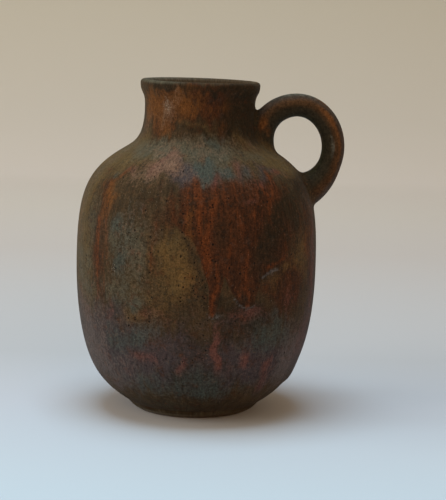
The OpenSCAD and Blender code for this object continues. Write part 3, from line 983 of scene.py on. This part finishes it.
# Soft field from 0 to 1: seeded random values on a grid round the vase and up it, joined by smooth steps
def softField(angle, height, around, tall, seed, rows=64, lowest=-20):
    grid = np.random.default_rng(seed).random((around, rows))
    u, v = (angle % 360) / 360 * around, (height - lowest) / tall
    i, j = np.floor(u).astype(int), np.floor(v).astype(int)
    s, t = smooth(u - i, 0, 1), smooth(v - j, 0, 1)
    i, k, j, m = i % around, (i + 1) % around, j % rows, (j + 1) % rows
    low, high = grid[i, j] * (1 - s) + grid[k, j] * s, grid[i, m] * (1 - s) + grid[k, m] * s
    return low * (1 - t) + high * t


# Sum of soft fields about 0, each times its depth
def wandered(fields, angle, height):
    return sum(depth * (softField(angle, height, around, tall, seed) - 0.5)
               for around, tall, seed, depth in fields)


# One patch: strength times exp(-1.1 d^2), with d the elliptical distance from its middle
def patch(across, up, wide, high, strength):
    return strength * np.exp(-1.1 * ((across / wide)**2 + (up / high)**2))


# Patches together: 1 minus the product of what each leaves. A half width of 180 degrees goes all round.
def patchField(patches, angle, height):
    left = np.ones_like(angle)
    for a, z, wide, high, strength in patches:
        across = np.abs((angle - a + 180) % 360 - 180) if wide < 180 else 0
        left *= 1 - patch(across, height - z, wide, high, strength)
    return 1 - left


# Runs: strength times exp(-(d / width)^2), with d the distance in mm from a line of (angle, height)
def runField(runs, angle, height, radius):
    total = np.zeros_like(angle)
    for width, strength, points in runs:
        points = np.array(points, float)
        nearest = np.full(len(angle), np.inf)
        for first, last in zip(points[:-1], points[1:]):
            here = np.stack([np.radians((angle - first[0] + 180) % 360 - 180) * radius, height - first[1]], 1)
            step = np.stack([np.radians(last[0] - first[0]) * radius,
                             np.full(len(angle), last[1] - first[1])], 1)
            t = np.clip((here * step).sum(1) / np.maximum((step**2).sum(1), 1e-6), 0, 1)
            nearest = np.minimum(nearest, np.linalg.norm(here - t[:, None] * step, axis=1))
        total = np.maximum(total, strength * np.exp(-(nearest / width)**2))
    return total


# A value or a vector at each point of the mesh, for the material
def setAttribute(mesh, name, values):
    kind, field = ("FLOAT", "value") if values.ndim == 1 else ("FLOAT_VECTOR", "vector")
    made = mesh.attributes.new(name, kind, "POINT")
    made.data.foreach_set(field, np.ascontiguousarray(values, float).ravel())


# Where the loop, the neck and the inside take over from the outside of the body
places = {
    "loopZone": (30, 30, -1),   # from this x, within this y, and from this far out of the wall, in mm
    "loop": (1.5, 6.0),         # mm out of the wall over which the loop's own glaze comes in
    "loopRadius": 9.0,          # of the loop in the flow space
    "neck": (198, 210),         # heights over which the noises turn to follow the neck
    "inside": (0.6, 0.9),       # shares of the wall's thickness
    "insideRadius": 90.0,
    "underside": 3.6,           # height up to which the hollow of the foot counts as inside
}


# Places on the form, and a flow space that the noises run down: on the body (R sin a, -R cos a, running
# length of the outline), with R the belly's radius, and on the loop its oval's direction times the loop's
# radius and the running length of its middle line
def placeAttributes(mesh, points):
    x, y, z = points.T
    radius, turn = np.hypot(x, y), np.arctan2(x, -y)
    outward, run = nearestOn(skin, np.stack([radius, z], 1))
    fromX, withinY, fromWall = places["loopZone"]
    near = nearRoots(points)
    near = near[(x[near] > fromX) & (np.abs(y[near]) < withinY) & (outward[near] > fromWall)]
    onLoop, loopTurn, loopRun = np.zeros((3, len(x)))
    offset, along = nearestOn(line, points[near][:, [0, 2]])
    onLoop[near] = smooth(outward[near], *places["loop"])
    u, v = offset / np.interp(along, lineRun, halfThick), y[near] / np.interp(along, lineRun, halfWide)
    loopTurn[near], loopRun[near] = -u, along / lineRun[-1]
    size = np.hypot(u, v) + 1e-6
    flow = np.stack([form["bellyRadius"] * np.sin(turn), -form["bellyRadius"] * np.cos(turn), run], 1)
    loopFlow, loopRadius = flow.copy(), places["loopRadius"]
    loopFlow[near] = np.stack([loopRadius * u / size, loopRadius * v / size, along], 1)
    flow = np.where(onLoop[:, None] > 0.5, loopFlow, flow)
    setAttribute(mesh, "flow", flow / 1000)
    setAttribute(mesh, "height", z / 1000)
    setAttribute(mesh, "neck", smooth(z, *places["neck"]))
    setAttribute(mesh, "loop", onLoop)
    setAttribute(mesh, "loopTurn", loopTurn)
    inside = smooth(-outward / form["wall"], *places["inside"]) * (radius < places["insideRadius"])
    setAttribute(mesh, "inside", np.maximum(inside, (z < places["underside"]) * 1.0))
    for name, glaze in loopGlazes.items():
        left = np.ones(len(x))
        for share, turnAt, wide, high, strength in glaze["patches"]:
            left *= 1 - patch(loopRun - share, loopTurn - turnAt, wide, high, strength)
        setAttribute(mesh, name, 1 - left)


# How much of each glaze lies at each point
def glazeAttributes(mesh, points):
    x, y, z = points.T
    radius, angle = np.hypot(x, y), np.degrees(np.arctan2(x, -y))
    byAngle, byHeight, onAngle, onHeight = (wandered(wander[name], angle, z) for name in (
        "patchAngle", "patchHeight", "runAngle", "runHeight"))
    runAngle, runHeight = angle + onAngle, z + onHeight
    for name, glaze in glazes.items():
        if "patches" in glaze:
            share = wander["share"].get(name, 1.0)
            moved = angle + share * byAngle, z + share * byHeight
            setAttribute(mesh, name, patchField(glaze["patches"], *moved))
        elif "runs" in glaze:
            setAttribute(mesh, name, runField(glaze["runs"], runAngle, runHeight, radius))
    setAttribute(mesh, "pitted", patchField(pits["where"], angle + byAngle, z + byHeight))
    flood = glazes["flood"]
    setAttribute(mesh, "floodEdge", (runHeight - np.interp(runAngle, *np.array(flood["edge"]).T)) / 10)
    top = flood["top"] + wandered([flood["topWander"]], angle, 0 * z)
    setAttribute(mesh, "flood", np.interp(runAngle, *np.array(flood["amount"]).T)
                 * smooth(top - z, *flood["topFade"]))


# Open pits: one in a cell, in clumps
pits = {
    "where": (
        (-31, 229, 7, 7, 1.0), (4, 226, 30, 8, 0.6), (4, 166, 5, 14, 0.7), (-33, 142, 8, 14, 0.6),
        (20, 140, 30, 50, 0.5), (-20, 130, 24, 50, 0.9), (2, 125, 12, 55, 0.8), (-40, 124, 8, 16, 0.8),
        (175, 120, 40, 50, 0.9), (-20, 118, 8, 20, 0.7), (0, 118, 6, 14, 0.7),
        (-110, 110, 40, 60, 0.7), (-20, 62, 40, 28, 0.35)),
    "cells": 400.0,                         # to a metre
    "stretch": 0.9,                         # along the flow
    "size": (0.28, 0.025),                  # spread and least size, as shares of a cell
    "edge": (0.05, -0.07),                  # soft edge round that size
    "clumpNoise": ({"mottle": 0.8, "cloud": 1.0}, -0.4),
    "clumps": (0.40, 0.68, 0.95, 0.03),     # the noise from where to where, and the most and the least of it
    "strays": 0.02,                         # share of the cells that hold one anywhere
    "dark": 0.9,                            # how much of its colour a pit hides
}

placeAttributes(body.data, plainPoints)
glazeAttributes(body.data, plainPoints)
print("glaze laid on", len(plainPoints), "points")

# The fired surface. A blend is the weights of its noises and a level.
finish = {
    "rustOnBody": ({"speck": 0.15, "fibre": 0.20, "streak": 0.45, "cloud": 0.25}, -0.025),
    "rustOnNeck": ({"mottle": 0.35, "fibre": 0.3}, 0.175),
    "loopTurn": ({"cloud": 0.3}, -0.15),
    "lightness": ({"fibre": 1.3, "speck": 1.9, "grain": 2.0}, -1.6),
    "darkest": 0.25,
    "roughness": ({"speck": 0.35}, 0.42),
    "specular": 0.04,
    "sheen": 0.03,
    "sheenRoughness": 0.3,
    "relief": ({"speck": 0.5, "grain": 0.25, "fibre": 0.35}, 0.0),
    "reliefStrength": 0.8,
    "reliefDepth": 0.001,       # in metres
}

glazeMaterial = bpy.data.materials.new("reactiveGlaze")
n = Nodes(glazeMaterial)
flow = n.attribute("flow", 1)
place = n.node("TexCoord", 3)
onNeck = n.attribute("neck")


# A noise drawn out downwards, twice as far on the body, along the flow, as on the neck, along the height
def drawnOut(scale, stretch, detail, rough, distortion=0.2):
    onBody = n.noise(n.scaled(flow, 1, 1, stretch), scale, detail, rough, distortion)
    above = n.noise(n.scaled(place, 1, 1, stretch * 2), scale, detail, rough, distortion)
    return n.node("Mix", 0, None, i0=onNeck, i2=onBody, i3=above)


# Noises from coarse to fine: where they are read, features to a metre, detail and roughness. The two that
# are drawn out have their stretch before the detail.
elsewhere = n.node("VectorMath", 0, {"operation": "ADD"}, i0=flow, i1=(0.31, 0.17, 0.53))
noises = {
    "cloud": n.noise(flow, 60, 4, 0.65),
    "drift": n.noise(elsewhere, 80, 4, 0.65),
    "mottle": n.noise(place, 150, 4, 0.65),
    "streak": drawnOut(190, 0.18, 4, 0.55),
    "speck": n.noise(flow, 420, 4, 0.7),
    "fibre": drawnOut(560, 0.22, 4, 0.7),
    "grain": n.noise(flow, 1100, 3, 0.7),
}


# Weighted sum of noises, and a level
def blend(weights, level):
    value = level
    for name, weight in weights.items():
        value = n.math("MULTIPLY_ADD", noises[name], weight, value)
    return value


# A glaze's share of each point: its given share, roughened by noises about 0.5
def cover(name, glaze):
    value = n.attribute(name)
    for noise, weight in glaze["rough"].items():
        value = n.math("MULTIPLY_ADD", n.math("SUBTRACT", noises[noise], 0.5), weight, value)
    return n.step(value, *glaze["cover"])


# Lays one glaze over what is there
def glazed(under, name, glaze, tone=None):
    return n.mix(cover(name, glaze), under, tone or tones[glaze["tone"]])


# The rust's own tone, from dark to orange by streaks on the body and by mottles on the neck
def rustRamp():
    onBody, above = blend(*finish["rustOnBody"]), blend(*finish["rustOnNeck"])
    stops = [(at, tones[name]) for at, name in ground["rustStops"]]
    return n.ramp(n.node("Mix", 0, None, i0=onNeck, i2=onBody, i3=above), stops)


# The rust that ran down: above its lower edge, which the streaks make ragged
def floodShare():
    flood = glazes["flood"]
    streaks = n.math("SUBTRACT", noises["streak"], 0.5)
    edge = n.math("MULTIPLY_ADD", streaks, flood["edgeStreaks"], n.attribute("floodEdge"))
    return n.math("MULTIPLY", n.step(edge, *flood["edgeFade"]), cover("flood", flood))


# Stray flecks over everything: a noise, where they start in it, where they hide most, that most, the tone
strayFlecks = (("speck", 0.56, 0.72, 0.55, "rust"), ("speck", 0.42, 0.28, 0.30, "blue"),
               ("mottle", 0.52, 0.72, 0.40, "rust"), ("mottle", 0.46, 0.28, 0.14, "blue"))


# The body's and the neck's colour: the glazes in their order but for the rim's, then the stray flecks
def bodyColour():
    shadow = n.step(noises["streak"], *ground["umberShadow"])
    colour = n.mix(shadow, tones["umber"], tones["dark"])
    rust = rustRamp()
    for name, glaze in glazes.items():
        if name == "flood":
            colour = n.mix(floodShare(), colour, rust)
        elif name != "rim":
            colour = glazed(colour, name, glaze, rust if name == "rust" else None)
    for noise, start, end, most, tone in strayFlecks:
        colour = n.mix(n.step(noises[noise], start, end, most), colour, tones[tone])
    return colour


# The loop's colour: tones by the turn round it, with painted shade on the inner half and a painted highlight
# on the outer edge, and its own patches
def loopColour():
    turn = n.math("MULTIPLY_ADD", n.attribute("loopTurn"), 0.5, 0.5)
    colour = n.ramp(n.math("ADD", turn, blend(*finish["loopTurn"])), loopToneAndShadeStops)
    for name, glaze in loopGlazes.items():
        colour = glazed(colour, name, glaze)
    return colour


# The lining's colour, browner towards the handle
def liningColour():
    across = n.math("MULTIPLY_ADD", noises["mottle"], ground["brownMottle"],
                    n.node("SeparateXYZ", 0, None, Vector=place))
    return n.mix(n.step(across, *ground["brownFrom"]), tones["inside"], tones["insideBrown"])


# How much of a pit there is, 1 in its middle. A cell holds one if its chance is under the share laid on.
def pitShare():
    where = n.scaled(flow, 1, 1, pits["stretch"])
    away, tint = (n.node("TexVoronoi", output, {"feature": "F1"}, Vector=where,
                         Scale=pits["cells"], Randomness=1.0) for output in (0, 1))
    chance = n.node("SeparateColor", 0, None, Color=tint)
    size = n.math("MULTIPLY_ADD", n.node("SeparateColor", 1, None, Color=tint), *pits["size"])
    clump = n.step(blend(*pits["clumpNoise"]), *pits["clumps"])
    isOpen = n.math("LESS_THAN", chance, n.math("MULTIPLY_ADD", n.attribute("pitted"), clump, pits["strays"]))
    return n.math("MULTIPLY", n.step(n.math("SUBTRACT", away, size), *pits["edge"]), isOpen)


# The whole glaze from the outside in: body and loop, rim, lining, uneven lightness, pits and bare clay
colour = n.mix(n.attribute("loop"), bodyColour(), loopColour())
colour = glazed(colour, "rim", glazes["rim"])
colour = n.mix(n.attribute("inside"), colour, liningColour())
lightness = n.math("MAXIMUM", blend(*finish["lightness"]), finish["darkest"])
colour = n.node("VectorMath", 0, {"operation": "SCALE"}, i0=colour, Scale=lightness)
pit = pitShare()
colour = n.mix(n.math("MULTIPLY", pit, pits["dark"]), colour, tones["pit"])
colour = n.mix(n.step(n.attribute("height"), *ground["clayUpTo"]), colour, tones["clay"])
relief = n.node("Bump", 0, None, Strength=finish["reliefStrength"], Distance=finish["reliefDepth"],
                Height=n.math("SUBTRACT", blend(*finish["relief"]), pit))
for socket, value in (("Base Color", colour), ("Roughness", blend(*finish["roughness"])),
                      ("Normal", relief), ("Specular IOR Level", finish["specular"]),
                      ("Sheen Weight", finish["sheen"]), ("Sheen Roughness", finish["sheenRoughness"])):
    n.put(n.shader.inputs[socket], value)
body.data.materials.clear()
body.data.materials.append(glazeMaterial)
print("glaze material:", len(glazes) + len(loopGlazes), "glazes")
